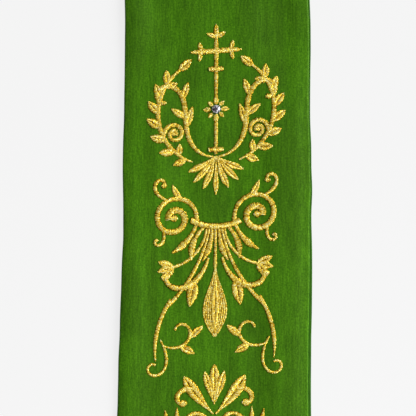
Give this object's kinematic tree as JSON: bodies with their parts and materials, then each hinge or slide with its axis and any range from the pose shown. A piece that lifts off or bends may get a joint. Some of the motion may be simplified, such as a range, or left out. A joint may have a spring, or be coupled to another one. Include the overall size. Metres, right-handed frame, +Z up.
{
  "type": "clerical stole",
  "caption": "Green clerical stole laid flat in a long U, gold scroll and cross embroidery on both fronts, lined, with a small crystal in each cross.",
  "frame": {"origin": "on the surface it lies on, under the middle of the stole's outline", "axes": "+Z up off the surface, +Y from the hems to the nape, +X towards the right half as seen from above with the nape at the top"},
  "size_m": [0.421, 1.2501, 0.0076],
  "materials": {
    "face_cloth": "slubbed satin weave",
    "lining_cloth": "plain smooth lining",
    "gold_thread": "lustrous satin-stitch thread",
    "crystal": "faceted, foil-backed"
  },
  "bodies": {
    "root": {"left_face": "face_cloth", "right_face": "face_cloth", "left_lining": "lining_cloth", "right_lining": "lining_cloth", "left_crystal": "crystal", "right_crystal": "crystal"}
  },
  "joints": []
}
